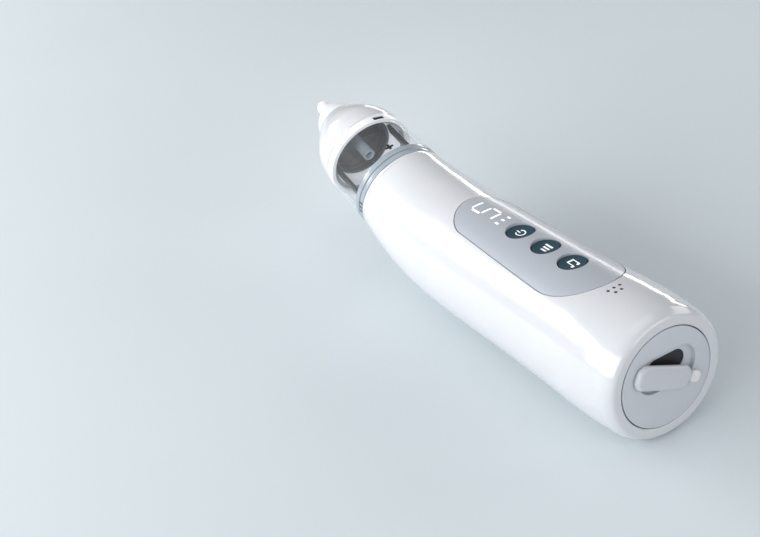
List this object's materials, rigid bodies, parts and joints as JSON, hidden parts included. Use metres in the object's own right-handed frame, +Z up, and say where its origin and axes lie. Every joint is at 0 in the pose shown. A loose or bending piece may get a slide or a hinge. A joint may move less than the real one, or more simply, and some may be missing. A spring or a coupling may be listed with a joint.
{
  "type": "electric nasal aspirator",
  "caption": "Hand-held electric nasal aspirator: bent round handle, button panel, clear collecting cup, pull-off cone and soft tip, flap over the charging port.",
  "frame": {"origin": "centre of the whole object's box, at its base, with the aspirator lying on its back", "axes": "+Y towards the nose tip, +Z up out of the button panel, +X to the right as seen from the butt end"},
  "size_m": [0.0418, 0.1878, 0.0498],
  "materials": {
    "white_plastic": "glossy white ABS",
    "panel_lens": "glossy gray lens",
    "button_teal": "satin dark teal gray",
    "cap_gray": "satin light gray",
    "clear_plastic": "clear polished plastic",
    "soft_white": "soft white silicone",
    "smoke_ring": "translucent gray",
    "plug_gray": "satin dark gray",
    "tube_gray": "smooth blue gray",
    "dark_plastic": "matte black",
    "board_green": "solder mask green",
    "frame_plastic": "unpainted gray moulding",
    "steel": "bright metal",
    "battery_wrap": "blue shrink wrap",
    "rubber": "black hose",
    "filter_felt": "felt"
  },
  "bodies": {
    "handle": {"body_shell": "white_plastic", "panel_lens": "panel_lens", "main_board": "board_green", "board_screw_1": "steel", "board_screw_2": "steel", "board_screw_3": "steel", "board_screw_4": "steel", "tact_switch_1": "dark_plastic", "tact_switch_2": "dark_plastic", "tact_switch_3": "dark_plastic", "display_module": "dark_plastic", "speaker": "dark_plastic", "charge_board": "board_green", "battery_cell": "battery_wrap", "motor_can": "steel", "pump_housing": "frame_plastic", "pump_head": "dark_plastic", "suction_hose": "rubber", "chassis_frame": "frame_plastic", "end_cap": "cap_gray", "usb_receptacle": "steel", "usb_tongue": "dark_plastic", "flap_pin": "frame_plastic", "neck_bulkhead": "frame_plastic", "air_filter": "filter_felt", "neck_seal": "smoke_ring"},
    "power_key": {"button_power": "button_teal"},
    "level_key": {"button_level": "button_teal"},
    "melody_key": {"button_melody": "button_teal"},
    "flap": {"port_flap": "cap_gray", "flap_tab": "soft_white"},
    "rotor": {"motor_shaft": "steel", "eccentric_hub": "frame_plastic"},
    "collar": {"lock_collar": "smoke_ring"},
    "cup": {"collecting_cup": "clear_plastic", "check_valve": "soft_white"},
    "cone": {"nozzle_cone": "white_plastic", "cone_ring": "white_plastic", "cone_plug": "plug_gray", "cone_leg_1": "plug_gray", "cone_leg_2": "plug_gray", "suction_tube": "tube_gray"},
    "tip": {"nozzle_tip": "soft_white"}
  },
  "joints": [
    {"name": "power_press", "type": "slide", "parent": "handle", "child": "power_key", "axis": [0, 0, -1], "range_m": [0, 0.0005], "stiffness_N_per_m": 400},
    {"name": "level_press", "type": "slide", "parent": "handle", "child": "level_key", "axis": [0, 0, -1], "range_m": [0, 0.0005], "stiffness_N_per_m": 400},
    {"name": "melody_press", "type": "slide", "parent": "handle", "child": "melody_key", "axis": [0, 0, -1], "range_m": [0, 0.0005], "stiffness_N_per_m": 400},
    {"name": "flap_swivel", "type": "hinge", "parent": "handle", "child": "flap", "pos_m": [-0.0076, -0.09177, 0.02375], "axis": [0, -1, 0], "range_deg": [-60, 24.7]},
    {"name": "rotor_spin", "type": "hinge", "parent": "handle", "child": "rotor", "pos_m": [0, 0.00623, 0.01975], "axis": [0, 1, 0], "continuous": true},
    {"name": "collar_twist", "type": "hinge", "parent": "handle", "child": "collar", "pos_m": [0, 0.04335, 0.02739], "axis": [0, 0.9563, 0.2924], "range_deg": [0, 20]},
    {"name": "cup_pull", "type": "slide", "parent": "collar", "child": "cup", "axis": [0, 0.9563, 0.2924], "range_m": [0, 0.03]},
    {"name": "cone_pull", "type": "slide", "parent": "cup", "child": "cone", "axis": [0, 0.9563, 0.2924], "range_m": [0, 0.03]},
    {"name": "tip_pull", "type": "slide", "parent": "cone", "child": "tip", "axis": [0, 0.9563, 0.2924], "range_m": [0, 0.015]}
  ]
}
